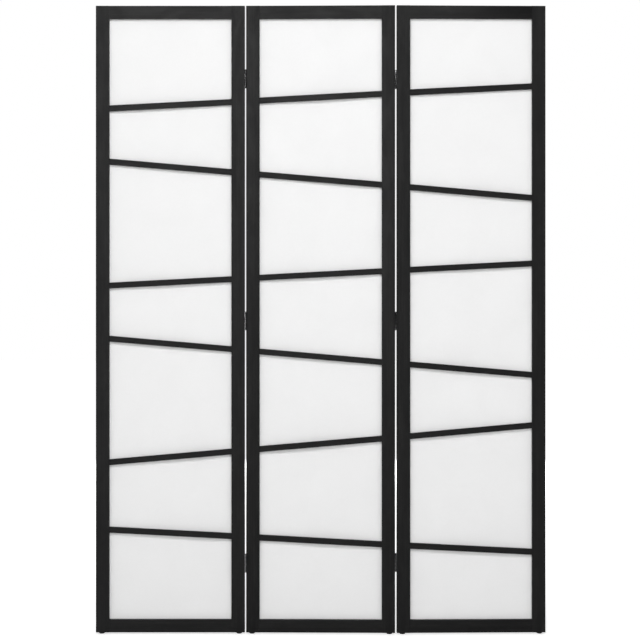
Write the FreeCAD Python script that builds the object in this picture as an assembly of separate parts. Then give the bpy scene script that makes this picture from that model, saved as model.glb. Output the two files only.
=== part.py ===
import FreeCAD, Part
import math
import os

# Three-panel shoji folding screen, in millimetres, +Z up, +X to the viewer's right and
# +Y away from the viewer. It stands in the slight zigzag of the photograph: the left
# hinge line has its knuckles in front, the right one behind, so it closes as a Z.
# Left, middle and right are as seen from the front.

os.makedirs("parts", exist_ok=True)

Vector = FreeCAD.Vector
Placement = FreeCAD.Placement
Rotation = FreeCAD.Rotation
UP = Vector(0, 0, 1)
RIGHT = Vector(1, 0, 0)
ORIGIN = Vector(0, 0, 0)

# ---- panel frames -------------------------------------------------------------------
panel_w = 403.0
panel_h = 1696.0
panel_t = 20.0
stile_w = 36.0
rail_w = 35.0
arris = 0.8             # broken outer edges of the frames
joint_slack = 0.1       # all round a tenon, a bar end, a nail or a screw
end_gap = 0.6           # left free at the bottom of each blind hole

# Stub tenons of the rails. Their back face keeps clear of the glide nails.
tenon_len = 15.0
tenon_t = 6.0
tenon_shoulder = 5.0    # above and below each tenon
tenon_cover = 1.1       # wood between a tenon and a glide nail

# ---- slanting bars ------------------------------------------------------------------
# One line per bar, from the top: its height on the screen's centre line, as a share of the
# frame's height, and its slope in degrees, rising to the viewer's right. Each line runs on
# over all three panels.
bar_lines = [
    (0.8542, 3.0),
    (0.7227, -4.9),
    (0.5713, 3.0),
    (0.4399, -4.9),
    (0.3009, 5.0),
    (0.1460, -3.0),
]
bar_w = 15.8
bar_t = 10.0
bar_recess = 2.0        # of the bars' faces behind the frame's face
bar_tenon = 8.0         # of each bar inside its stile

# ---- paper and the stops behind it --------------------------------------------------
paper_t = 0.4
paper_slack = 1.0       # between the paper's edge and the rebate's wall
rebate_w = 7.0
stop_w = 12.0           # upright stops, wider than the rebate
end_stop_w = 7.0        # stops across, as wide as the rebate
stop_slack = 0.2

# ---- nail-on glides under the stiles ------------------------------------------------
glide_d = 15.0
glide_h = 4.0
glide_rim = 1.5         # bevel round the foot of the cap
glide_from_edge = 15.5  # from the stile's outer face to the nail
nail_d = 1.8
nail_len = 14.0

# ---- butt hinges --------------------------------------------------------------------
hinge_len = 50.0
hinge_from_top = 198.0      # frame's top to the middle of the top hinge
hinge_from_bottom = 188.0   # frame's foot to the middle of the bottom hinge
leaf_t = 1.2
leaf_reach = 17.0           # from the pin's axis to the leaf's free edge
leaf_spacing = 1.3          # between the two leaves when the screen is flat
leaf_corner = 2.2           # radius of each leaf's two free corners
knuckles = 5
knuckle_gap = 0.5           # between two knuckles along the pin
knuckle_slot = 0.4          # between a knuckle and the other leaf's edge
pin_d = 3.4
pin_slack = 0.05            # radial running clearance in the knuckles
pin_proud = 0.5             # of the pin's peened ends past the knuckles
barrel_clear = 0.35         # between the barrel and the plane of the frame's face

# Countersunk screws, two in each leaf.
screw_head_d = 5.4
screw_d = 2.8
screw_len = 15.0
screw_pitch = 28.0

# ---- how far the screen is folded where it stands -------------------------------------
middle_turn = -1.2
left_fold = 1.2
right_fold = 2.6

# ---- worked out from the sizes above ------------------------------------------------
hinge_gap = leaf_spacing + 2 * leaf_t
pitch = panel_w + hinge_gap
bore_r = pin_d / 2 + pin_slack
knuckle_r = bore_r + leaf_t
axis_proud = knuckle_r + barrel_clear
lip_t = bar_recess + bar_t
opening_w = panel_w - 2 * stile_w
tenon_back = panel_t / 2 - nail_d / 2 - tenon_cover
rebate_foot = rail_w - rebate_w
rebate_head = panel_h - rebate_foot
stop_front = lip_t + paper_t
hinge_heights = {
    "top": panel_h - hinge_from_top,
    "middle": (panel_h - hinge_from_top + hinge_from_bottom) / 2,
    "bottom": hinge_from_bottom,
}
panel_shift = {"left": -pitch, "middle": 0.0, "right": pitch}
sides = {"left": -1, "right": 1}


def block(xs, ys, zs):
    """Box between two values on each axis, given in either order."""
    low = Vector(min(xs), min(ys), min(zs))
    high = Vector(max(xs), max(ys), max(zs))
    size = high - low
    return Part.makeBox(size.x, size.y, size.z, low)


def turned(points, axis):
    """Solid of revolution about an axis through the origin, from a closed outline."""
    outline = Part.makePolygon(points + points[:1])
    return Part.Face(outline).revolve(ORIGIN, axis, 360)


def break_edges(body, keep):
    """Bevel the straight edges whose middle point the test accepts."""
    edges = [edge for edge in body.Edges if keep(edge.BoundBox.Center)]
    return body.makeChamfer(arris, edges)


def bar_stretch(line, shift, xs, ys, grow=0.0):
    """Stretch of one bar line between two uprights, with its ends cut plumb."""
    share, slope = line
    tangent = math.tan(math.radians(slope))
    half = bar_w / 2 / math.cos(math.radians(slope)) + grow
    x0, x1 = sorted(xs)
    y0, y1 = sorted(ys)
    z0, z1 = (share * panel_h + tangent * (shift + x) for x in (x0, x1))
    corners = [
        Vector(x0, y0, z0 - half),
        Vector(x1, y0, z1 - half),
        Vector(x1, y0, z1 + half),
        Vector(x0, y0, z0 + half),
    ]
    outline = Part.makePolygon(corners + corners[:1])
    return Part.Face(outline).extrude(Vector(0, y1 - y0, 0))


def tenon(rail_foot, inner, reach, grow=0.0):
    """Tenon of a rail from the stile's inner face, or with grow, the room for it."""
    depth = (tenon_back - tenon_t - grow, tenon_back + grow)
    height = (rail_foot + tenon_shoulder - grow, rail_foot + rail_w - tenon_shoulder + grow)
    return block((inner, reach), depth, height)


# ---- hinge pieces, about the pin's axis, with the leaf on the +X, +Y side --------------

def knuckle_spans(first):
    """Lowest and highest point of every second knuckle, starting at the one numbered."""
    step = hinge_len / knuckles
    trim = knuckle_gap / 2
    spans = []
    for number in range(first, knuckles, 2):
        low = number * step + (trim if number > 0 else 0)
        high = (number + 1) * step - (trim if number < knuckles - 1 else 0)
        spans.append((low, high))
    return spans


def rod(radius, span):
    """Round bar about the pin's axis."""
    return Part.makeCylinder(radius, span[1] - span[0], Vector(0, 0, span[0]))


def screw_places():
    """Screws of one leaf: on the middle of its flat, evenly about its middle height."""
    across = (knuckle_r + leaf_reach) / 2
    return [
        Vector(leaf_spacing / 2, across, hinge_len / 2 + part * screw_pitch / 2)
        for part in (-1, 1)
    ]


def screw_shape(grow=0.0, deeper=0.0):
    """Countersunk screw along +X with its head's face at the origin, or its hole."""
    head = screw_head_d / 2 + grow
    shank = screw_d / 2 + grow
    length = screw_len + deeper
    outline = [
        Vector(0, 0, 0),
        Vector(0, head, 0),
        Vector(leaf_t, shank, 0),
        Vector(length, shank, 0),
        Vector(length, 0, 0),
    ]
    return turned(outline, RIGHT)


def screw_holes():
    """Countersink, clearance hole and pilot hole of both screws of a leaf."""
    holes = []
    for place in screw_places():
        hole = screw_shape(joint_slack / 2, end_gap)
        hole.translate(place)
        holes.append(hole)
    return holes


def is_free_corner(at):
    """Whether a point is on a leaf's free edge and at one of its ends."""
    return abs(at.y - leaf_reach) < 1e-6 and abs(abs(at.z - hinge_len / 2) - hinge_len / 2) < 1e-6


def leaf(first, other):
    """Leaf with the knuckles counted from first, notched for those counted from other."""
    flat = (leaf_spacing / 2, leaf_spacing / 2 + leaf_t)
    body = block(flat, (0, leaf_reach), (0, hinge_len))
    free = [edge for edge in body.Edges if is_free_corner(edge.BoundBox.Center)]
    body = body.makeFillet(leaf_corner, free)
    for low, high in knuckle_spans(other):
        bottom = 0 if low == 0 else low - knuckle_gap
        top = hinge_len if high == hinge_len else high + knuckle_gap
        body = body.cut(block(flat, (0, knuckle_r + knuckle_slot), (bottom, top)))
    body = body.fuse([rod(knuckle_r, span) for span in knuckle_spans(first)])
    body = body.cut(rod(bore_r, (0, hinge_len)))
    return body.cut(screw_holes()).removeSplitter()


def pin():
    return rod(pin_d / 2, (-pin_proud, hinge_len + pin_proud))


def hinge_axis(line, panel):
    """Foot of a hinge line in a panel's own frame: left line in front, right behind."""
    x = sides[line] * pitch / 2 - panel_shift[panel]
    y = -axis_proud if line == "left" else panel_t + axis_proud
    return Vector(x, y, 0)


def at_hinge(shape, line, panel, height, outer):
    """Put a hinge piece on its panel; an outer piece is the mirror image of an inner."""
    if outer:
        shape = shape.mirror(ORIGIN, RIGHT)
    about = Rotation(UP, 0 if line == "left" else 180)
    foot = hinge_axis(line, panel) + Vector(0, 0, height - hinge_len / 2)
    placed = shape.copy()
    placed.Placement = Placement(foot, about).multiply(placed.Placement)
    return placed


def hinged_edges(panel):
    """Hinge lines that a panel carries: (line, stile's side, on the outer leaf)."""
    if panel == "middle":
        return [("left", "left", False), ("right", "right", False)]
    return [(panel, "right" if panel == "left" else "left", True)]


# ---- panel pieces, in the panel's own frame: face at y = 0, foot at z = 0 ---------------

def stile(panel, side_name):
    side = sides[side_name]
    outer = side * panel_w / 2
    inner = outer - side * stile_w
    body = block((outer, inner), (0, panel_t), (0, panel_h))
    body = break_edges(body, lambda at: abs(at.x - outer) < 1e-6 and abs(at.z - panel_h / 2) < 1e-6)

    cuts = [block((inner, inner + side * rebate_w), (lip_t, panel_t), (rebate_foot, rebate_head))]
    for foot in (0, panel_h - rail_w):
        cuts.append(tenon(foot, inner, inner + side * (tenon_len + end_gap), joint_slack))
    housing = (inner, inner + side * (bar_tenon + end_gap))
    for line in bar_lines:
        room = (bar_recess - joint_slack, lip_t + joint_slack)
        cuts.append(bar_stretch(line, panel_shift[panel], housing, room, joint_slack))
    nail_hole = Part.makeCylinder(nail_d / 2 + joint_slack / 2, nail_len + end_gap)
    nail_hole.translate(Vector(outer - side * glide_from_edge, panel_t / 2, 0))
    cuts.append(nail_hole)
    for line, hinged_side, is_outer in hinged_edges(panel):
        if hinged_side != side_name:
            continue
        for height in hinge_heights.values():
            for hole in screw_holes():
                cuts.append(at_hinge(hole, line, panel, height, is_outer))
    return body.cut(cuts)


def rail(foot, rebate_at_top):
    """Rail with its tenons; its rebate is on the side that faces the opening."""
    half = opening_w / 2
    body = block((-half, half), (0, panel_t), (foot, foot + rail_w))
    free = foot if rebate_at_top else foot + rail_w
    body = break_edges(body, lambda at: abs(at.z - free) < 1e-6 and abs(at.x) < 1e-6)
    edge = foot + rail_w if rebate_at_top else foot
    wall = edge - rebate_w if rebate_at_top else edge + rebate_w
    body = body.cut(block((-half, half), (lip_t, panel_t), (edge, wall)))
    for side in sides.values():
        body = body.fuse(tenon(foot, side * half, side * (half + tenon_len)))
    return body.removeSplitter()


def bar(panel, line):
    half = opening_w / 2 + bar_tenon
    return bar_stretch(line, panel_shift[panel], (-half, half), (bar_recess, lip_t))


def paper():
    half = opening_w / 2 + rebate_w - paper_slack
    heights = (rebate_foot + paper_slack, rebate_head - paper_slack)
    return block((-half, half), (lip_t, stop_front), heights)


def side_stops():
    """Two upright strips on the paper's back, flush with the frame's back."""
    far = opening_w / 2 + rebate_w - stop_slack
    heights = (rebate_foot + stop_slack, rebate_head - stop_slack)
    return [
        block((side * far, side * (far - stop_w)), (stop_front, panel_t), heights)
        for side in sides.values()
    ]


def end_stops():
    """Two strips across, between the upright ones."""
    half = opening_w / 2 + rebate_w - stop_slack - stop_w - stop_slack
    low = rebate_foot + stop_slack
    high = rebate_head - stop_slack
    return [
        block((-half, half), (stop_front, panel_t), heights)
        for heights in ((low, low + end_stop_w), (high - end_stop_w, high))
    ]


def glide():
    """Cap with a bevelled foot, and its nail, standing on the plane z = -glide_h."""
    radius = glide_d / 2
    nail = nail_d / 2
    return turned([
        Vector(0, 0, -glide_h),
        Vector(radius - glide_rim, 0, -glide_h),
        Vector(radius, 0, glide_rim - glide_h),
        Vector(radius, 0, 0),
        Vector(nail, 0, 0),
        Vector(nail, 0, nail_len),
        Vector(0, 0, nail_len),
    ], UP)


def glides():
    pair = []
    for side in sides.values():
        one = glide()
        one.translate(Vector(side * (panel_w / 2 - glide_from_edge), panel_t / 2, 0))
        pair.append(one)
    return pair


# ---- every node, as a list of solids in its panel's frame ------------------------------

def panel_nodes(panel):
    nodes = {
        f"{panel}_left_stile": [stile(panel, "left")],
        f"{panel}_right_stile": [stile(panel, "right")],
        f"{panel}_top_rail": [rail(panel_h - rail_w, False)],
        f"{panel}_bottom_rail": [rail(0, True)],
        f"{panel}_paper": [paper()],
        f"{panel}_side_stops": side_stops(),
        f"{panel}_end_stops": end_stops(),
        f"{panel}_glides": glides(),
    }
    for number, line in enumerate(bar_lines, start=1):
        nodes[f"{panel}_bar_{number}"] = [bar(panel, line)]
    return nodes


def hinge_nodes(line, panel, outer):
    """Leaves and screws of one hinge line on one panel, and the pins on the middle one."""
    which = "outer" if outer else "inner"
    nodes = {}
    screws = []
    pins = []
    for name, height in hinge_heights.items():
        shape = leaf(1, 0) if outer else leaf(0, 1)
        nodes[f"{line}_hinge_{name}_{which}_leaf"] = [at_hinge(shape, line, panel, height, outer)]
        pins.append(at_hinge(pin(), line, panel, height, False))
        for place in screw_places():
            one = screw_shape()
            one.translate(place)
            screws.append(at_hinge(one, line, panel, height, outer))
    nodes[f"{line}_hinge_{which}_screws"] = screws
    if not outer:
        nodes[f"{line}_hinge_pins"] = pins
    return nodes


def fold_about(line, angle):
    """Turn about a hinge line, in the middle panel's frame."""
    return Placement(ORIGIN, Rotation(UP, angle), hinge_axis(line, "middle"))


def standing_places():
    """Where each panel's frame stands, before the screen is centred on the origin."""
    middle = Placement(Vector(0, 0, glide_h), Rotation(UP, middle_turn))
    left = middle.multiply(fold_about("left", left_fold))
    right = middle.multiply(fold_about("right", right_fold))
    return {
        "left": left.multiply(Placement(Vector(-pitch, 0, 0), Rotation())),
        "middle": middle,
        "right": right.multiply(Placement(Vector(pitch, 0, 0), Rotation())),
    }


def main():
    nodes = {}
    for panel, place in standing_places().items():
        pieces = panel_nodes(panel)
        for line, _, outer in hinged_edges(panel):
            pieces.update(hinge_nodes(line, panel, outer))
        for name, solids in pieces.items():
            for solid in solids:
                solid.Placement = place.multiply(solid.Placement)
            nodes[name] = Part.makeCompound(solids)

    whole = FreeCAD.BoundBox()
    for shape in nodes.values():
        whole.add(shape.optimalBoundingBox(False))
    centring = Vector(-whole.Center.x, -whole.Center.y, 0)
    for name, shape in nodes.items():
        shape.translate(centring)
        result = shape.Solids[0] if len(shape.Solids) == 1 else shape
        result.exportStep(f"parts/{name}.step")

    print("overall mm:", [round(v, 2) for v in (whole.XLength, whole.YLength, whole.ZLength)])
    middle = standing_places()["middle"]
    for line in sides:
        foot = middle.multVec(hinge_axis(line, "middle")) + centring
        print(line, "hinge line at x, y =", round(foot.x, 4), round(foot.y, 4))
    foot = middle.multVec(Vector(panel_w / 2 - glide_from_edge, panel_t / 2, -glide_h)) + centring
    print("middle panel's right glide rests at", [round(v, 4) for v in foot])
    inner_face = leaf_spacing / 2
    touch = math.degrees(2 * math.atan(inner_face / leaf_reach))
    print("leaves meet", round(touch, 2), "degrees past flat")


main()
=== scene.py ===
import math

import bpy
from mathutils import Matrix, Vector


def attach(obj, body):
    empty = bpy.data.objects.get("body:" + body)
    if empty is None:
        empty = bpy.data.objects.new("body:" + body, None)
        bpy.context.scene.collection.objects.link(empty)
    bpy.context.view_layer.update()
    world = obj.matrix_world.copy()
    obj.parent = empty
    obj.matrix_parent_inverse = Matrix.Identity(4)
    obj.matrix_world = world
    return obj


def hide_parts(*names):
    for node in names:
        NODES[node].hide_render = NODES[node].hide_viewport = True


bl_info = {
    "name": "Shoji Folding Screen",
    "version": (1, 0, 0),
    "blender": (4, 5, 0),
    "location": "3D View > Sidebar > Shoji Screen",
    "description": "Finishes a three-panel shoji screen: stained frames, paper, hinges, glides",
    "category": "Object",
}

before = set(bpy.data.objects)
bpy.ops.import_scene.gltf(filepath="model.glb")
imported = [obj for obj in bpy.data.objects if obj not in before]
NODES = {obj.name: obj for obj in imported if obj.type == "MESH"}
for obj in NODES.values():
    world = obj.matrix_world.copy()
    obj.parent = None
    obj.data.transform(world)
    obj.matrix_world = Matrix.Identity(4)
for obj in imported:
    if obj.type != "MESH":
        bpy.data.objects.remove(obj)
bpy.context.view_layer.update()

PANELS = ("left", "middle", "right")
BAR_NUMBERS = range(1, 7)
MM = 0.001

# How the paper hangs behind each bar, from the top one down: how far back it stands at most,
# in mm, and where along the bar, as a share of half the opening from its middle.
SLACK_BEHIND_BARS = {
    "left": [(2.6, -0.4), (2.2, 0.0), (1.6, -0.2), (2.4, 0.1), (2.6, 0.2), (3.4, 0.5)],
    "middle": [(3.0, 0.1), (1.8, 0.3), (3.0, 0.1), (2.4, -0.1), (3.4, -0.3), (3.2, 0.1)],
    "right": [(1.6, -0.2), (2.4, 0.2), (1.8, 0.2), (2.2, -0.2), (2.6, -0.3), (2.8, 0.0)],
}
# Slow waves of the sheet between the bars: height in mm, waves per metre across and up, start.
SHEET_WAVES = [
    (0.55, 1.3, 2.1, 0.4),
    (0.40, -2.4, 3.3, 1.9),
    (0.28, 3.9, -5.2, 2.6),
    (0.16, 6.3, 7.7, 0.9),
]

# Where each panel's waves start, in radians.
WAVE_STARTS = {"left": 0.0, "middle": 1.7, "right": 3.9}
# The sheet's mean swell and its clearance behind the bars in mm, the flat strips at its edges
# and the way it rises from them in metres, and how far a bar's slack reaches: in metres up and
# down, and as a share along it.
SHEET_SWELL = 0.75
SHEET_CLEAR = 0.1
SIDE_FLAT, SIDE_RISE = 0.012, 0.035
END_FLAT, END_RISE = 0.008, 0.05
SLACK_UP, SLACK_ALONG = 0.055, 0.55

# The butt hinges' sizes in mm, and the heights of a leaf's two screws.
HINGE = {"length": 50.0, "knuckles": 5, "gap": 0.5, "barrel": 2.95, "sheet": 1.2,
         "spacing": 1.3, "reach": 17.0, "notch": 0.4, "corner": 2.2, "bend": 3.6,
         "rubbed_edge": 0.22}
ROLL_STEPS, ROLL_STEP_DEGREES = 30, 8.8
SCREW_HEIGHTS = (11.0, 39.0)
HINGE_PLACES = ("bottom", "middle", "top")
HINGE_TURN = {"left": 0.0, "right": math.pi}

# Turned profiles, as (radius, height) in mm.
COUNTERSINK = [(2.85, -0.1), (2.75, 0.0), (1.45, 1.2), (1.45, 1.4)]
PIN_END = [(0.8, 0.5), (1.3, 0.42), (1.6, 0.2), (1.7, -0.1)]
SCREW_HEAD = [(2.45, 0.03), (2.62, 0.0), (2.70, 0.08), (1.42, 1.2)]
GLIDE = [(5.7, 0.0), (6.3, 0.1), (6.9, 0.4), (7.3, 0.95), (7.48, 1.6), (7.5, 2.4),
         (7.42, 3.3), (7.1, 3.8), (6.6, 4.0), (0.9, 4.0), (0.9, 15.6), (0.12, 17.9)]
# A screw's thread, from its first turn down: radii, pitch and where it stops, in mm.
THREAD = {"core": 1.02, "crest": 1.38, "pitch": 1.1, "start": 2.4, "stop": 12.6}
# The cross recess: a blade's width and thickness at the face, its depth, and its taper.
RECESS = {"width": 3.0, "thickness": 0.62, "depth": 1.25, "above": 0.6, "taper": 0.45}

# The studio, in metres: where the lamps are and what they aim at, and the floor's own glow,
# which rises with the distance from the screen.
LAMP_PLACES = {"soft box": (-0.45, -3.4, 2.9), "front fill": (0.7, -5.5, 1.4),
               "back fill": (0.0, 5.5, 1.4), "side glint": (-3.2, -4.2, 1.1)}
LAMP_AIM = (0.05, 0, 0.95)
FILL_SIZE, GLINT_SIZE = 2.4, 0.9
BACK_FILL_SHARE = 1.7
FLOOR_SIZE = 60
GLOW_NEAR, GLOW_FAR = 0.56, 0.84
GLOW_RISES = (0.3, 1.3)
MIRRORED_ROOM = 0.32
CAMERA_ACROSS = -0.0019


# ---- what a user may change ------------------------------------------------------------

class ShojiWood(bpy.types.PropertyGroup):
    stain: bpy.props.FloatVectorProperty(
        name="Stain", description="Colour of the black stain", subtype="COLOR", size=3,
        min=0, max=1, default=(0.0030, 0.0030, 0.0032))
    worn_stain: bpy.props.FloatVectorProperty(
        name="Grain", description="Colour of the paler streaks where the stain is thin",
        subtype="COLOR", size=3, min=0, max=1, default=(0.0140, 0.0137, 0.0133))
    gloss: bpy.props.FloatProperty(
        name="Roughness", description="Roughness of the satin lacquer", subtype="FACTOR",
        min=0, max=1, default=0.54)
    shine: bpy.props.FloatProperty(
        name="Shine", description="Strength of the lacquer's reflection", subtype="FACTOR",
        min=0, max=1, default=0.24)
    relief: bpy.props.FloatProperty(
        name="Grain relief", description="Depth of the open grain", unit="LENGTH",
        min=0, max=0.001, default=0.0001)
    soft_edge: bpy.props.FloatProperty(
        name="Soft edge", description="Sanded rounding of every edge", unit="LENGTH",
        min=0, max=0.001, default=0.0003)


class ShojiPaper(bpy.types.PropertyGroup):
    tone: bpy.props.FloatVectorProperty(
        name="Tone", description="Colour of the paper", subtype="COLOR", size=3,
        min=0, max=1, default=(0.90, 0.90, 0.90))
    glow: bpy.props.FloatProperty(
        name="Translucency", description="Share of the light that comes through",
        subtype="FACTOR", min=0, max=1, default=0.16)
    thickness: bpy.props.FloatProperty(
        name="Thickness", description="Thickness of the sheet", unit="LENGTH",
        min=0.0001, max=0.0004, default=0.0003)
    mesh_step: bpy.props.FloatProperty(
        name="Mesh step", description="Size of the sheet's faces", unit="LENGTH",
        min=0.003, max=0.02, default=0.006)


class ShojiMetal(bpy.types.PropertyGroup):
    leaf_colour: bpy.props.FloatVectorProperty(
        name="Leaf", description="Colour of the blackened steel leaves", subtype="COLOR",
        size=3, min=0, max=1, default=(0.17, 0.17, 0.174))
    pin_colour: bpy.props.FloatVectorProperty(
        name="Pin", description="Colour of the hinge pins", subtype="COLOR", size=3,
        min=0, max=1, default=(0.16, 0.16, 0.165))
    screw_colour: bpy.props.FloatVectorProperty(
        name="Screw", description="Colour of the blackened screws", subtype="COLOR",
        size=3, min=0, max=1, default=(0.075, 0.073, 0.07))
    roughness: bpy.props.FloatProperty(
        name="Roughness", description="Roughness of the blackened steel",
        subtype="FACTOR", min=0, max=1, default=0.2)


class ShojiGlide(bpy.types.PropertyGroup):
    colour: bpy.props.FloatVectorProperty(
        name="Plastic", description="Colour of the nail-on glides", subtype="COLOR",
        size=3, min=0, max=1, default=(0.012, 0.012, 0.012))
    segments: bpy.props.IntProperty(
        name="Segments", description="Faces round a glide", min=16, max=96, default=48)


class ShojiStage(bpy.types.PropertyGroup):
    camera_distance: bpy.props.FloatProperty(
        name="Camera distance", description="From the camera to the screen",
        unit="LENGTH", default=4.5)
    camera_height: bpy.props.FloatProperty(
        name="Camera height", description="Above the floor", unit="LENGTH", default=0.8496)
    lens: bpy.props.FloatProperty(
        name="Lens", description="Focal length in millimetres", default=93.4)
    key_power: bpy.props.FloatProperty(
        name="Key light", description="Power of the soft box", unit="POWER", default=76.0)
    key_size: bpy.props.FloatProperty(
        name="Soft box", description="Width of the soft box", unit="LENGTH", default=1.2)
    fill_power: bpy.props.FloatProperty(
        name="Fill light", description="Power of the broad fill in front of the screen; the "
        "one behind it follows", unit="POWER", default=88.0)
    glint_power: bpy.props.FloatProperty(
        name="Glint power", description="Lamp on the left that only glints on polished parts",
        unit="POWER", min=0, max=1000, default=50)
    room_light: bpy.props.FloatProperty(
        name="Room light", description="Strength of the light all round", default=0.25)
    floor_colour: bpy.props.FloatVectorProperty(
        name="Floor", description="Colour of the studio floor", subtype="COLOR", size=3,
        min=0, max=1, default=(0.82, 0.82, 0.82))


# ---- where the panels and their pieces stand --------------------------------------------

def panel_frame(panel):
    """Matrix from a panel's own frame at rest: X across, Y to its back from the paper's front
    face, Z up from the floor."""
    corners = []
    for vertex in NODES[f"{panel}_paper"].data.vertices:
        point = vertex.co.to_2d()
        if all((point - other).length > 1e-5 for other in corners):
            corners.append(point)
    first = min(corners, key=lambda point: point.x)
    by_distance = sorted(corners, key=lambda point: (point - first).length)
    across = (by_distance[2] - first).normalized()
    back = Vector((-across.y, across.x))
    front = sorted(corners, key=lambda point: point.dot(back))[:2]
    middle = (front[0] + front[1]) / 2
    return Matrix((
        (across.x, back.x, 0, middle.x),
        (across.y, back.y, 0, middle.y),
        (0, 0, 1, 0),
        (0, 0, 0, 1),
    ))


def in_panel(panel, node):
    """Points of a CAD node in its panel's own frame."""
    inverse = panel_frame(panel).inverted()
    return [inverse @ vertex.co for vertex in NODES[node].data.vertices]


def bar_line(panel, number):
    """Height at the panel's middle, and slope, of a bar's centre line."""
    points = in_panel(panel, f"{panel}_bar_{number}")
    ends = []
    for pick in (min, max):
        edge = pick(point.x for point in points)
        heights = [point.z for point in points if abs(point.x - edge) < 1e-5]
        ends.append((edge, (min(heights) + max(heights)) / 2))
    (x0, z0), (x1, z1) = ends
    slope = (z1 - z0) / (x1 - x0)
    return z0 - slope * x0, slope


def middle_of(points):
    """Middle of the box round some points."""
    return [(min(p[axis] for p in points) + max(p[axis] for p in points)) / 2
            for axis in range(3)]


def hinge_place(line, place, panel):
    """Matrix from a hinge's own frame: pin along +Z from its foot, a leaf of the middle panel
    on the +X side, an outer one mirrored."""
    x, y, z = middle_of(islands(f"{line}_hinge_pins")[HINGE_PLACES.index(place)])
    foot = Vector((x, y, z - HINGE["length"] * MM / 2))
    turn = panel_frame(panel).to_3x3().to_4x4() @ Matrix.Rotation(HINGE_TURN[line], 4, "Z")
    mirror = Matrix.Scale(1 if panel == "middle" else -1, 4, (1, 0, 0))
    return Matrix.Translation(foot) @ turn @ mirror


def screw_place(height):
    """Matrix from a screw's own frame, its head's face at the origin, to its leaf's."""
    across = (HINGE["barrel"] + HINGE["reach"]) / 2
    face = Matrix.Translation(Vector((HINGE["spacing"] / 2, across, height)) * MM)
    return face @ Matrix.Rotation(math.radians(90), 4, "Y")


def islands(node):
    """Points of each separate solid of a CAD node."""
    mesh = NODES[node].data
    keys = [tuple(round(c, 6) for c in vertex.co) for vertex in mesh.vertices]
    parent = {key: key for key in keys}

    def root(key):
        while parent[key] != key:
            parent[key] = parent[parent[key]]
            key = parent[key]
        return key

    for polygon in mesh.polygons:
        first = root(keys[polygon.vertices[0]])
        for index in polygon.vertices[1:]:
            parent[root(keys[index])] = first
    groups = {}
    for key in parent:
        groups.setdefault(root(key), []).append(Vector(key))
    return sorted(groups.values(), key=lambda points: (min(p.z for p in points), points[0].x))


# ---- small steps of modelling and shading ------------------------------------------------

def deselect():
    if bpy.context.object and bpy.context.object.mode != "OBJECT":
        bpy.ops.object.mode_set(mode="OBJECT")
    bpy.ops.object.select_all(action="DESELECT")


def select_only(*pieces):
    deselect()
    for piece in pieces:
        piece.select_set(True)
    bpy.context.view_layer.objects.active = pieces[0]


def face_out(piece):
    """Turn every face outwards, as after a mirrored placing."""
    select_only(piece)
    bpy.ops.object.mode_set(mode="EDIT")
    bpy.ops.mesh.select_all(action="SELECT")
    bpy.ops.mesh.normals_make_consistent(inside=False)
    bpy.ops.object.mode_set(mode="OBJECT")


def stack_rings(name, profile, segments):
    """Round closed piece about +Z, raised from a disc along a profile, (radius, height) in mm."""
    rings = [(radius * MM, height * MM) for radius, height in profile]
    deselect()
    radius, height = rings[0]
    bpy.ops.mesh.primitive_circle_add(
        vertices=segments, radius=radius, fill_type="NGON", location=(0, 0, 0))
    piece = bpy.context.object
    piece.name = piece.data.name = name
    bpy.ops.object.mode_set(mode="EDIT")
    bpy.ops.mesh.select_all(action="SELECT")
    bpy.ops.transform.translate(value=(0, 0, height))
    for next_radius, next_height in rings[1:]:
        bpy.ops.mesh.extrude_region_move(
            TRANSFORM_OT_translate={"value": (0, 0, next_height - height)})
        scale = next_radius / radius
        bpy.ops.transform.resize(value=(scale, scale, 1), center_override=(0, 0, next_height))
        radius, height = next_radius, next_height
    face_out(piece)
    return piece


def settle(piece, matrix):
    """Put a piece's place into its mesh, with its object at the origin."""
    select_only(piece)
    piece.matrix_world = matrix @ piece.matrix_world
    bpy.ops.object.transform_apply(location=True, rotation=True, scale=True)


def copy_of(piece, name):
    twin = piece.copy()
    twin.data = piece.data.copy()
    twin.name = twin.data.name = name
    bpy.context.collection.objects.link(twin)
    return twin


def join(pieces, name):
    select_only(*pieces)
    if len(pieces) > 1:
        bpy.ops.object.join()
    joined = bpy.context.view_layer.objects.active
    joined.name = joined.data.name = name
    return joined


def carve(piece, cutter):
    """Cut one closed piece out of another, and take it away."""
    select_only(piece)
    cut = piece.modifiers.new("cut", "BOOLEAN")
    cut.object = cutter
    cut.operation = "DIFFERENCE"
    cut.solver = "EXACT"
    bpy.ops.object.modifier_apply(modifier=cut.name)
    bpy.data.objects.remove(cutter)


def smooth(piece, degrees):
    select_only(piece)
    bpy.ops.object.shade_smooth_by_angle(angle=math.radians(degrees))


def dress(piece, material):
    piece.data.materials.clear()
    piece.data.materials.append(material)


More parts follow.
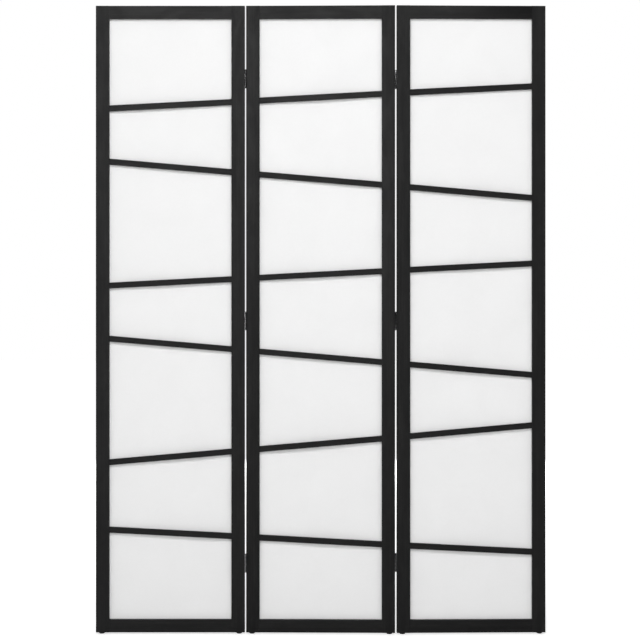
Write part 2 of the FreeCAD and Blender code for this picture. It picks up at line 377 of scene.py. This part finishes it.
class Shader:
    """The node tree of a material, or of the world, built node by node."""

    def __init__(self, name, world=False):
        self.owner = (bpy.data.worlds if world else bpy.data.materials).new(name)
        self.owner.use_nodes = True
        self.tree = self.owner.node_tree
        self.tree.nodes.clear()
        self.output = self.node(
            "ShaderNodeOutputWorld" if world else "ShaderNodeOutputMaterial")

    def node(self, kind, inputs=None, **settings):
        made = self.tree.nodes.new(kind)
        for key, value in settings.items():
            setattr(made, key, value)
        for socket, value in (inputs or {}).items():
            if isinstance(value, bpy.types.NodeSocket):
                self.tree.links.new(value, made.inputs[socket])
            else:
                made.inputs[socket].default_value = value
        return made

    def place(self, turn=(0, 0, 0), scale=(1, 1, 1)):
        """Object coordinates, turned and then stretched."""
        source = self.node("ShaderNodeTexCoord").outputs["Object"]
        turned = self.node("ShaderNodeMapping", {"Vector": source, "Rotation": turn})
        stretched = self.node(
            "ShaderNodeMapping", {"Vector": turned.outputs["Vector"], "Scale": scale})
        return stretched.outputs["Vector"]

    def noise(self, vector, scale, detail=2.0, roughness=0.5, distortion=0.0):
        made = self.node("ShaderNodeTexNoise", {
            "Vector": vector, "Scale": scale, "Detail": detail, "Roughness": roughness,
            "Distortion": distortion})
        return made.outputs["Fac"]

    def spread(self, value, low, high, to_low=0.0, to_high=1.0):
        made = self.node("ShaderNodeMapRange", {
            "Value": value, "From Min": low, "From Max": high, "To Min": to_low,
            "To Max": to_high}, clamp=True)
        return made.outputs["Result"]

    def math(self, operation, first, second):
        made = self.node("ShaderNodeMath", {0: first, 1: second}, operation=operation)
        return made.outputs["Value"]

    def blend(self, share, first, second):
        made = self.node("ShaderNodeMix", data_type="RGBA")
        for name, value in (("Factor", share), ("A", first), ("B", second)):
            socket = next(
                s for s in made.inputs
                if s.name == name and s.type == ("VALUE" if name == "Factor" else "RGBA"))
            if isinstance(value, bpy.types.NodeSocket):
                self.tree.links.new(value, socket)
            else:
                socket.default_value = value
        return next(s for s in made.outputs if s.type == "RGBA")

    def bump(self, height, distance, strength=1.0):
        made = self.node("ShaderNodeBump", {
            "Height": height, "Distance": distance, "Strength": strength})
        return made.outputs["Normal"]

    def finish(self, shader_output):
        self.tree.links.new(shader_output, self.output.inputs["Surface"])
        return self.owner


def colour(vector):
    return (vector[0], vector[1], vector[2], 1.0)


# ---- finishes --------------------------------------------------------------------------

def stained_wood(name, degrees):
    """Black stained wood whose grain runs at an angle from level, seen from the front."""
    wood = bpy.context.scene.shoji_wood
    shader = Shader(name)
    turn = (0, math.radians(degrees), 0)
    figure = shader.noise(shader.place(turn, (3.2, 55, 95)), 1.0, 3.0, 0.55, 0.7)
    rings = shader.node("ShaderNodeTexWave", {
        "Vector": shader.place(turn, (1.6, 20, 46)), "Scale": 1.0, "Distortion": 5.5,
        "Detail": 2.0, "Detail Scale": 1.3, "Detail Roughness": 0.55},
        wave_type="BANDS", bands_direction="Z", wave_profile="SIN").outputs["Fac"]
    fibres = shader.noise(shader.place(turn, (16, 620, 700)), 1.0, 3.0, 0.6)
    pores = shader.noise(shader.place(turn, (75, 1500, 1700)), 1.0, 1.0, 0.5)
    pits = shader.spread(pores, 0.62, 0.72)

    clouds = shader.noise(shader.place(turn, (11, 30, 34)), 1.0, 3.0, 0.6, 0.9)
    streaks = shader.math("MULTIPLY", shader.spread(figure, 0.36, 0.70),
                          shader.spread(rings, 0.1, 0.95, 0.45, 1.0))
    fine = shader.spread(fibres, 0.3, 0.75, 0.55, 1.15)
    worn = shader.math("ADD", shader.math("MULTIPLY", streaks, 0.62),
                       shader.spread(clouds, 0.42, 0.76, 0.0, 0.30))
    share = shader.math("MULTIPLY", worn, fine)
    open_grain = shader.math("SUBTRACT", share, shader.math("MULTIPLY", pits, 0.5))
    tone = shader.blend(
        shader.spread(open_grain, 0.0, 1.0), colour(wood.stain), colour(wood.worn_stain))

    gloss = wood.gloss
    dulled = shader.math("ADD", shader.spread(fibres, 0.25, 0.8, gloss - 0.05, gloss + 0.08),
                         shader.spread(clouds, 0.35, 0.7, 0.05, -0.04))
    height = shader.math("SUBTRACT", shader.math("MULTIPLY", fibres, 0.7),
                         shader.math("MULTIPLY", pits, 0.6))
    body = shader.node("ShaderNodeBsdfPrincipled", {
        "Base Color": tone,
        "Roughness": dulled,
        "Normal": shader.bump(height, wood.relief),
    })
    body.inputs["Specular IOR Level"].default_value = wood.shine
    return shader.finish(body.outputs["BSDF"])


def rice_paper():
    """White pressed paper: soft clouds, short fibres, and some light from behind."""
    paper = bpy.context.scene.shoji_paper
    shader = Shader("rice paper")
    clouds = shader.noise(shader.place(scale=(1, 1, 0.8)), 11.0, 3.0, 0.5, 0.4)
    pulp = shader.noise(shader.place(), 170.0, 3.0, 0.6)
    fibres = shader.noise(shader.place((0, 0.5, 0), (900, 900, 60)), 1.0, 2.0, 0.5, 1.2)
    cross = shader.noise(shader.place((0, -0.8, 0), (900, 900, 70)), 1.0, 2.0, 0.5, 1.2)
    strands = shader.math("MAXIMUM", fibres, cross)

    thick = shader.math("ADD", shader.spread(clouds, 0.25, 0.75, 0.0, 0.62),
                        shader.spread(pulp, 0.3, 0.7, 0.0, 0.38))
    dull = tuple(c * 0.965 for c in paper.tone)
    tone = shader.blend(thick, colour(dull), colour(paper.tone))
    height = shader.math("ADD", shader.math("MULTIPLY", pulp, 0.5),
                         shader.math("MULTIPLY", strands, 0.5))
    normal = shader.bump(height, 0.00006)
    face = shader.node("ShaderNodeBsdfPrincipled", {
        "Base Color": tone, "Roughness": 0.78, "Normal": normal})
    face.inputs["Specular IOR Level"].default_value = 0.25
    through = shader.node("ShaderNodeBsdfTranslucent", {"Color": tone, "Normal": normal})
    share = shader.spread(thick, 0.0, 1.0, paper.glow * 1.15, paper.glow * 0.85)
    mixed = shader.node("ShaderNodeMixShader", {
        0: share, 1: face.outputs["BSDF"], 2: through.outputs["BSDF"]})
    return shader.finish(mixed.outputs["Shader"])


def blackened_steel(name, tint, roughness, scratch_turn=(0, 0, 0)):
    """Dark plated steel with a fine orange peel and light rubbing."""
    shader = Shader(name)
    peel = shader.noise(shader.place(), 1400.0, 2.0, 0.5)
    rubs = shader.noise(shader.place(scratch_turn, (2600, 2600, 130)), 1.0, 2.0, 0.6)
    patches = shader.noise(shader.place(), 160.0, 3.0, 0.6)
    worn = shader.math("MULTIPLY", shader.spread(rubs, 0.56, 0.72),
                       shader.spread(patches, 0.4, 0.65))
    bare = tuple(min(1.0, c * 2.4) for c in tint)
    tone = shader.blend(worn, colour(tint), colour(bare))
    body = shader.node("ShaderNodeBsdfPrincipled", {
        "Base Color": tone,
        "Roughness": shader.spread(patches, 0.3, 0.7, roughness - 0.05, roughness + 0.08),
        "Normal": shader.bump(shader.math("ADD", peel, shader.math("MULTIPLY", rubs, 0.4)),
                              0.00002),
    })
    body.inputs["Metallic"].default_value = 1.0
    return shader.finish(body.outputs["BSDF"])


def moulded_plastic():
    glide = bpy.context.scene.shoji_glide
    shader = Shader("black moulded plastic")
    grain = shader.noise(shader.place(), 1100.0, 2.0, 0.5)
    scuffs = shader.noise(shader.place(scale=(700, 90, 300)), 1.0, 2.0, 0.6)
    pale = tuple(c * 2.6 + 0.004 for c in glide.colour)
    body = shader.node("ShaderNodeBsdfPrincipled", {
        "Base Color": shader.blend(shader.spread(scuffs, 0.6, 0.75, 0.0, 0.6),
                                   colour(glide.colour), colour(pale)),
        "Roughness": shader.spread(grain, 0.3, 0.7, 0.34, 0.46),
        "Normal": shader.bump(grain, 0.00003),
    })
    return shader.finish(body.outputs["BSDF"])


def round_edges(piece, width, degrees):
    """Add the rounding of every edge sharper than an angle."""
    edges = piece.modifiers.new("rounded edges", "BEVEL")
    edges.width = width
    edges.segments = 2
    edges.limit_method = "ANGLE"
    edges.angle_limit = math.radians(degrees)
    return edges


def soften(piece, width):
    """Round a wooden solid's edges a little, as sanding does, once its flat faces are whole."""
    weld = piece.modifiers.new("weld", "WELD")
    weld.merge_threshold = 1e-5
    planes = piece.modifiers.new("planes", "DECIMATE")
    planes.decimate_type = "DISSOLVE"
    planes.angle_limit = math.radians(0.5)
    round_edges(piece, width, 40)


# ---- operators, one for each group of pieces ----------------------------------------------

class SHOJI_OT_frames(bpy.types.Operator):
    """Finish the stiles and rails in black stained wood, with the grain along each"""
    bl_idname = "shoji.frames"
    bl_label = "Finish frames"

    def execute(self, context):
        upright = stained_wood("stained wood upright", 90)
        level = stained_wood("stained wood level", 0)
        for panel in PANELS:
            for member, finish in (("left_stile", upright), ("right_stile", upright),
                                   ("top_rail", level), ("bottom_rail", level)):
                piece = NODES[f"{panel}_{member}"]
                dress(piece, finish)
                soften(piece, context.scene.shoji_wood.soft_edge)
        return {"FINISHED"}


class SHOJI_OT_bars(bpy.types.Operator):
    """Finish the slanting bars, with the grain along each slope"""
    bl_idname = "shoji.bars"
    bl_label = "Finish bars"

    def execute(self, context):
        finishes = {}
        for number in BAR_NUMBERS:
            degrees = round(math.degrees(math.atan(bar_line("middle", number)[1])), 1)
            if degrees not in finishes:
                finishes[degrees] = stained_wood(f"stained wood at {degrees:g}", degrees)
            for panel in PANELS:
                piece = NODES[f"{panel}_bar_{number}"]
                dress(piece, finishes[degrees])
                soften(piece, context.scene.shoji_wood.soft_edge)
        return {"FINISHED"}


class SHOJI_OT_stops(bpy.types.Operator):
    """Finish the strips that hold the paper from behind"""
    bl_idname = "shoji.stops"
    bl_label = "Finish stops"

    def execute(self, context):
        upright = bpy.data.materials["stained wood upright"]
        level = bpy.data.materials["stained wood level"]
        for panel in PANELS:
            for member, finish in (("side_stops", upright), ("end_stops", level)):
                piece = NODES[f"{panel}_{member}"]
                dress(piece, finish)
                soften(piece, context.scene.shoji_wood.soft_edge)
        return {"FINISHED"}


def paper_depth(panel, lines, half, low, high):
    """How far back of its flat place the sheet stands, as a function of place, in metres."""
    start = WAVE_STARTS[panel]
    spots = SLACK_BEHIND_BARS[panel]

    def ease(value):
        value = max(0.0, min(1.0, value))
        return value * value * (3 - 2 * value)

    def depth(x, z):
        sides = ease((half - SIDE_FLAT - abs(x)) / SIDE_RISE)
        ends = ease((z - low - END_FLAT) / END_RISE) * ease((high - END_FLAT - z) / END_RISE)
        wave = 0.0
        for height, across, up, phase in SHEET_WAVES:
            wave += height * math.sin(math.tau * (across * x + up * z) + phase + start)
        total = SHEET_SWELL + wave
        for (height, slope), (slack, spot) in zip(lines, spots):
            below = z - (height + slope * x)
            along = x / half - spot
            near = math.exp(-(below / SLACK_UP) ** 2)
            total += slack * near * math.exp(-(along / SLACK_ALONG) ** 2)
        return max(0.0, total) * sides * ends * MM

    return depth


class SHOJI_OT_paper(bpy.types.Operator):
    """Stretch a sheet of paper over the back of each panel's bars, a little slack"""
    bl_idname = "shoji.paper"
    bl_label = "Stretch paper"

    def execute(self, context):
        settings = context.scene.shoji_paper
        finish = rice_paper()
        for panel in PANELS:
            points = in_panel(panel, f"{panel}_paper")
            half = max(point.x for point in points)
            low, high = (pick(point.z for point in points) for pick in (min, max))
            lines = [bar_line(panel, number) for number in BAR_NUMBERS]
            depth = paper_depth(panel, lines, half, low, high)
            deselect()
            bpy.ops.mesh.primitive_grid_add(
                x_subdivisions=round(2 * half / settings.mesh_step),
                y_subdivisions=round((high - low) / settings.mesh_step), size=2)
            sheet = context.object
            sheet.name = sheet.data.name = f"{panel}_paper_sheet"
            for vertex in sheet.data.vertices:
                x = vertex.co.x * half
                z = (low + high) / 2 + vertex.co.y * (high - low) / 2
                vertex.co = (x, SHEET_CLEAR * MM + depth(x, z), z)
            wall = sheet.modifiers.new("thickness", "SOLIDIFY")
            wall.thickness = settings.thickness
            wall.offset = -1
            bpy.ops.object.modifier_apply(modifier=wall.name)
            settle(sheet, panel_frame(panel))
            smooth(sheet, 40)
            dress(sheet, finish)
            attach(sheet, f"{panel}_panel")
            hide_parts(f"{panel}_paper")
        return {"FINISHED"}


def rolled_sheet():
    """Middle line of a leaf's sheet in plan, in mm about the pin's axis: from the free edge in
    to the stile's face, out round the pin, and back to the sheet, leaving a seam."""
    sheet = HINGE["sheet"]
    middle = HINGE["spacing"] / 2 + sheet / 2
    radius = HINGE["barrel"] - sheet / 2
    bend = HINGE["bend"]
    line = [(middle, HINGE["reach"]), (middle, 11.0), (middle, 5.5), (middle, bend)]
    for share in (0.25, 0.5, 0.75):
        eased = share * share * (3 - 2 * share)
        line.append((middle + (radius - middle) * eased, bend * (1 - share)))
    for step in range(ROLL_STEPS + 1):
        angle = math.radians(-ROLL_STEP_DEGREES * step)
        line.append((radius * math.cos(angle), radius * math.sin(angle)))
    return line


def knuckle_rows(first):
    """Heights in mm where a leaf's sheet is divided, and which rows carry its knuckles."""
    step = HINGE["length"] / HINGE["knuckles"]
    gap = HINGE["gap"] / 2
    heights, own = [0.0], []
    for number in range(HINGE["knuckles"]):
        top = (number + 1) * step
        last = number == HINGE["knuckles"] - 1
        heights.append(top if last else top - gap)
        own.append(number % 2 == first)
        if not last:
            heights.append(top + gap)
            own.append(False)
    return heights, own


class SHOJI_OT_hinges(bpy.types.Operator):
    """Roll the leaves of the butt hinges from sheet steel, and set their pins"""
    bl_idname = "shoji.hinges"
    bl_label = "Make hinges"

    def leaf(self, name, first):
        """Leaf in the hinge's own frame: pin along +Z from its foot, the sheet towards +Y."""
        line = rolled_sheet()
        heights, own = knuckle_rows(first)
        columns, rows = len(line) - 1, len(heights) - 1
        deselect()
        bpy.ops.mesh.primitive_grid_add(x_subdivisions=columns, y_subdivisions=rows, size=2)
        leaf = bpy.context.object
        leaf.name = leaf.data.name = name
        mesh = leaf.data
        for vertex in mesh.vertices:
            column = round((vertex.co.x + 1) / 2 * columns)
            row = round((vertex.co.y + 1) / 2 * rows)
            x, y = line[column]
            vertex.co = (x * MM, y * MM, heights[row] * MM)
        bpy.ops.object.mode_set(mode="EDIT")
        bpy.ops.mesh.select_mode(type="FACE")
        bpy.ops.mesh.select_all(action="DESELECT")
        bpy.ops.object.mode_set(mode="OBJECT")
        reach = HINGE["barrel"] + HINGE["notch"]
        for polygon in mesh.polygons:
            row = next(n for n in range(rows) if polygon.center.z < heights[n + 1] * MM)
            furled = min(mesh.vertices[v].co.y for v in polygon.vertices) < reach * MM
            polygon.select = furled and not own[row]
        bpy.ops.object.mode_set(mode="EDIT")
        bpy.ops.mesh.delete(type="FACE")
        bpy.ops.mesh.select_mode(type="VERT")
        bpy.ops.mesh.select_all(action="DESELECT")
        bpy.ops.object.mode_set(mode="OBJECT")
        for vertex in mesh.vertices:
            ends = min(vertex.co.z, HINGE["length"] * MM - vertex.co.z) < 1e-6
            vertex.select = ends and abs(vertex.co.y - HINGE["reach"] * MM) < 1e-6
        bpy.ops.object.mode_set(mode="EDIT")
        bpy.ops.mesh.bevel(offset=HINGE["corner"] * MM, segments=5, affect="VERTICES")
        face_out(leaf)
        sheet = leaf.modifiers.new("sheet", "SOLIDIFY")
        sheet.thickness = HINGE["sheet"] * MM
        sheet.offset = 0
        sheet.use_even_offset = True
        bpy.ops.object.modifier_apply(modifier=sheet.name)
        self.sink_holes(leaf)
        edges = round_edges(leaf, HINGE["rubbed_edge"] * MM, 45)
        bpy.ops.object.modifier_apply(modifier=edges.name)
        return leaf

    def sink_holes(self, leaf):
        for height in SCREW_HEIGHTS:
            cutter = stack_rings("countersink", COUNTERSINK, 32)
            settle(cutter, screw_place(height))
            carve(leaf, cutter)

    def pin(self):
        """Pin with both ends peened, a little proud of the knuckles."""
        foot = [(radius, -proud) for radius, proud in PIN_END]
        head = [(radius, HINGE["length"] + proud) for radius, proud in reversed(PIN_END)]
        return stack_rings("hinge pin", foot + head, 32)

    def execute(self, context):
        metal = context.scene.shoji_metal
        leaf_finish = blackened_steel("blackened steel", metal.leaf_colour, metal.roughness)
        pin_finish = blackened_steel("hinge pin steel", metal.pin_colour, metal.roughness)
        patterns = {"inner": self.leaf("leaf of three knuckles", 0),
                    "outer": self.leaf("leaf of two knuckles", 1)}
        pattern_pin = self.pin()
        for line in HINGE_TURN:
            for which, pattern in patterns.items():
                panel = "middle" if which == "inner" else line
                for place in HINGE_PLACES:
                    node = f"{line}_hinge_{place}_{which}_leaf"
                    leaf = copy_of(pattern, f"{node}_rolled")
                    settle(leaf, hinge_place(line, place, panel))
                    face_out(leaf)
                    smooth(leaf, 35)
                    dress(leaf, leaf_finish)
                    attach(leaf, f"{panel}_panel")
                    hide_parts(node)
            pins = []
            for place in HINGE_PLACES:
                one = copy_of(pattern_pin, f"{line}_hinge_{place}_pin")
                settle(one, hinge_place(line, place, "middle"))
                pins.append(one)
            pins = join(pins, f"{line}_hinge_pins_peened")
            smooth(pins, 35)
            dress(pins, pin_finish)
            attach(pins, "middle_panel")
            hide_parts(f"{line}_hinge_pins")
        for pattern in (*patterns.values(), pattern_pin):
            bpy.data.objects.remove(pattern)
        return {"FINISHED"}


class SHOJI_OT_screws(bpy.types.Operator):
    """Drive a countersunk cross-recessed screw into each hole of the leaves"""
    bl_idname = "shoji.screws"
    bl_label = "Make screws"

    def model(self):
        """One screw along +Z, its head's face at the origin."""
        core, crest, pitch = THREAD["core"], THREAD["crest"], THREAD["pitch"]
        depth = THREAD["start"]
        profile = SCREW_HEAD + [(1.36, depth)]
        while depth < THREAD["stop"]:
            profile += [(core, depth + 0.35 * pitch), (core, depth + 0.6 * pitch),
                        (crest, depth + 0.85 * pitch), (crest, depth + pitch)]
            depth += pitch
        screw = stack_rings("screw", profile + [(1.0, depth + 0.3), (0.12, 14.9)], 28)
        for turn in (0, 90):
            deselect()
            bpy.ops.mesh.primitive_cube_add(size=1, location=(0, 0, 0))
            blade = bpy.context.object
            blade.scale = (RECESS["width"] * MM, RECESS["thickness"] * MM, 1)
            blade.rotation_euler = (0, 0, math.radians(turn))
            bpy.ops.object.transform_apply(location=True, rotation=True, scale=True)
            for vertex in blade.data.vertices:
                if vertex.co.z > 0:
                    vertex.co.x *= RECESS["taper"]
                    vertex.co.y *= RECESS["taper"]
                vertex.co.z = (RECESS["depth"] if vertex.co.z > 0 else -RECESS["above"]) * MM
            carve(screw, blade)
        return screw

    def execute(self, context):
        metal = context.scene.shoji_metal
        finish = blackened_steel("blackened screw steel", metal.screw_colour, 0.34)
        screw = self.model()
        for line in HINGE_TURN:
            for which in ("inner", "outer"):
                node = f"{line}_hinge_{which}_screws"
                panel = "middle" if which == "inner" else line
                copies = []
                for place in HINGE_PLACES:
                    for height in SCREW_HEIGHTS:
                        stopped_at = math.radians(37 * len(copies) + 11)
                        turn = Matrix.Rotation(stopped_at, 4, "Z")
                        one = copy_of(screw, f"{node}_{len(copies)}")
                        settle(one, hinge_place(line, place, panel) @ screw_place(height) @ turn)
                        copies.append(one)
                driven = join(copies, f"{node}_driven")
                face_out(driven)
                smooth(driven, 35)
                dress(driven, finish)
                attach(driven, f"{panel}_panel")
                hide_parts(node)
        bpy.data.objects.remove(screw)
        return {"FINISHED"}


class SHOJI_OT_glides(bpy.types.Operator):
    """Tap a round-edged glide into the foot of each stile"""
    bl_idname = "shoji.glides"
    bl_label = "Make glides"

    def execute(self, context):
        finish = moulded_plastic()
        glide = stack_rings("glide", GLIDE, context.scene.shoji_glide.segments)
        for panel in PANELS:
            node = f"{panel}_glides"
            copies = []
            for number, points in enumerate(islands(node)):
                x, y, _ = middle_of(points)
                one = copy_of(glide, f"{node}_{number}")
                settle(one, Matrix.Translation((x, y, 0)))
                copies.append(one)
            pair = join(copies, f"{panel}_glide_pair")
            smooth(pair, 35)
            dress(pair, finish)
            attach(pair, f"{panel}_panel")
            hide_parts(node)
        bpy.data.objects.remove(glide)
        return {"FINISHED"}


class SHOJI_OT_stage(bpy.types.Operator):
    """Set the floor, the white room, the lamps and the camera"""
    bl_idname = "shoji.stage"
    bl_label = "Set stage"

    def execute(self, context):
        stage = context.scene.shoji_stage
        self.floor(stage)
        self.room(context.scene, stage)
        self.lamps(stage)
        self.camera(context.scene, stage)
        context.scene.view_settings.view_transform = "Standard"
        return {"FINISHED"}

    def floor(self, stage):
        deselect()
        bpy.ops.mesh.primitive_plane_add(size=FLOOR_SIZE, location=(0, 0, 0))
        floor = bpy.context.object
        floor.name = floor.data.name = "studio_floor"
        shader = Shader("studio floor")
        speckle = shader.noise(shader.place(), 3.0, 2.0, 0.5)
        paler = tuple(min(1.0, c * 1.02) for c in stage.floor_colour)
        matt = shader.node("ShaderNodeBsdfDiffuse", {
            "Color": shader.blend(speckle, colour(stage.floor_colour), colour(paler))})
        away = shader.node(
            "ShaderNodeVectorMath", {0: shader.place((0, 0, 0), (0.5, 1, 1))}, operation="LENGTH")
        glow = shader.node("ShaderNodeEmission", {
            "Color": (1, 1, 1, 1),
            "Strength": shader.spread(away.outputs["Value"], *GLOW_RISES, GLOW_NEAR, GLOW_FAR)})
        path = shader.node("ShaderNodeLightPath")
        lit = shader.node("ShaderNodeAddShader", {
            0: matt.outputs["BSDF"], 1: glow.outputs["Emission"]})
        seen = shader.math("MAXIMUM", path.outputs["Is Camera Ray"],
                           path.outputs["Is Transmission Ray"])
        mixed = shader.node("ShaderNodeMixShader", {
            0: seen, 1: matt.outputs["BSDF"], 2: lit.outputs["Shader"]})
        dress(floor, shader.finish(mixed.outputs["Shader"]))

    def room(self, scene, stage):
        """White where it is looked at; as light, grey on the camera's side and paler behind."""
        shader = Shader("studio room", world=True)
        place = shader.node("ShaderNodeTexCoord").outputs["Generated"]
        toward = shader.node("ShaderNodeSeparateXYZ", {"Vector": place}).outputs
        path = shader.node("ShaderNodeLightPath").outputs
        level = shader.spread(
            toward["Z"], -0.2, 0.9, stage.room_light * 0.75, stage.room_light * 1.25)
        dimming = shader.spread(path["Is Glossy Ray"], 0.0, 1.0, 1.0, MIRRORED_ROOM)
        light = shader.node("ShaderNodeBackground", {
            "Color": (1, 1, 1, 1), "Strength": shader.math("MULTIPLY", level, dimming)})
        white = shader.node("ShaderNodeBackground", {"Color": (1, 1, 1, 1), "Strength": 1.0})
        mirrored = shader.math("MULTIPLY", path["Is Glossy Ray"],
                               shader.spread(toward["Y"], 0.0, 0.5))
        seen = shader.math("MAXIMUM", path["Is Camera Ray"], mirrored)
        through = shader.math("MAXIMUM", seen, path["Is Transmission Ray"])
        mix = shader.node("ShaderNodeMixShader", {
            0: through, 1: light.outputs["Background"], 2: white.outputs["Background"]})
        scene.world = shader.finish(mix.outputs["Shader"])

    def lamps(self, stage):
        """A soft box above the camera, a broad fill before and behind the screen, which no
        polished part mirrors, and a glint from the side, which lights nothing else."""
        for name, size, power in (
                ("soft box", stage.key_size, stage.key_power),
                ("front fill", FILL_SIZE, stage.fill_power),
                ("back fill", FILL_SIZE, BACK_FILL_SHARE * stage.fill_power),
                ("side glint", GLINT_SIZE, stage.glint_power)):
            lamp = bpy.data.lights.new(name, "AREA")
            lamp.shape = "SQUARE"
            lamp.size = size
            lamp.energy = power
            box = bpy.data.objects.new(name, lamp)
            bpy.context.scene.collection.objects.link(box)
            box.location = LAMP_PLACES[name]
            aim = Vector(LAMP_AIM) - box.location
            box.rotation_euler = aim.to_track_quat("-Z", "Y").to_euler()
            box.visible_glossy = "fill" not in name
            box.visible_diffuse = name != "side glint"

    def camera(self, scene, stage):
        data = bpy.data.cameras.new("camera")
        data.sensor_width = 36
        data.lens = stage.lens
        camera = bpy.data.objects.new("camera", data)
        scene.collection.objects.link(camera)
        camera.location = (CAMERA_ACROSS, -stage.camera_distance, stage.camera_height)
        camera.rotation_euler = (math.radians(90), 0, 0)
        scene.camera = camera


class SHOJI_PT_panel(bpy.types.Panel):
    """Lists the steps that dress the screen, and their settings"""
    bl_label = "Shoji Screen"
    bl_idname = "SHOJI_PT_panel"
    bl_space_type = "VIEW_3D"
    bl_region_type = "UI"
    bl_category = "Shoji Screen"

    def draw(self, context):
        for step in STEPS:
            self.layout.operator(step.bl_idname)
        for name, kind in SETTINGS.items():
            box = self.layout.box()
            for key in kind.__annotations__:
                box.prop(getattr(context.scene, name), key)


SETTINGS = {
    "shoji_wood": ShojiWood,
    "shoji_paper": ShojiPaper,
    "shoji_metal": ShojiMetal,
    "shoji_glide": ShojiGlide,
    "shoji_stage": ShojiStage,
}
STEPS = (
    SHOJI_OT_stage,
    SHOJI_OT_frames,
    SHOJI_OT_bars,
    SHOJI_OT_stops,
    SHOJI_OT_paper,
    SHOJI_OT_hinges,
    SHOJI_OT_screws,
    SHOJI_OT_glides,
)


def register():
    for kind in (*SETTINGS.values(), *STEPS, SHOJI_PT_panel):
        bpy.utils.register_class(kind)
    for name, kind in SETTINGS.items():
        setattr(bpy.types.Scene, name, bpy.props.PointerProperty(type=kind))


def unregister():
    for name in SETTINGS:
        delattr(bpy.types.Scene, name)
    for kind in (SHOJI_PT_panel, *reversed(STEPS), *reversed(SETTINGS.values())):
        bpy.utils.unregister_class(kind)


def main():
    register()
    bpy.ops.shoji.stage()
    bpy.ops.shoji.frames()
    bpy.ops.shoji.bars()
    bpy.ops.shoji.stops()
    bpy.ops.shoji.paper()
    bpy.ops.shoji.hinges()
    bpy.ops.shoji.screws()
    bpy.ops.shoji.glides()


if __name__ == "__main__":
    main()
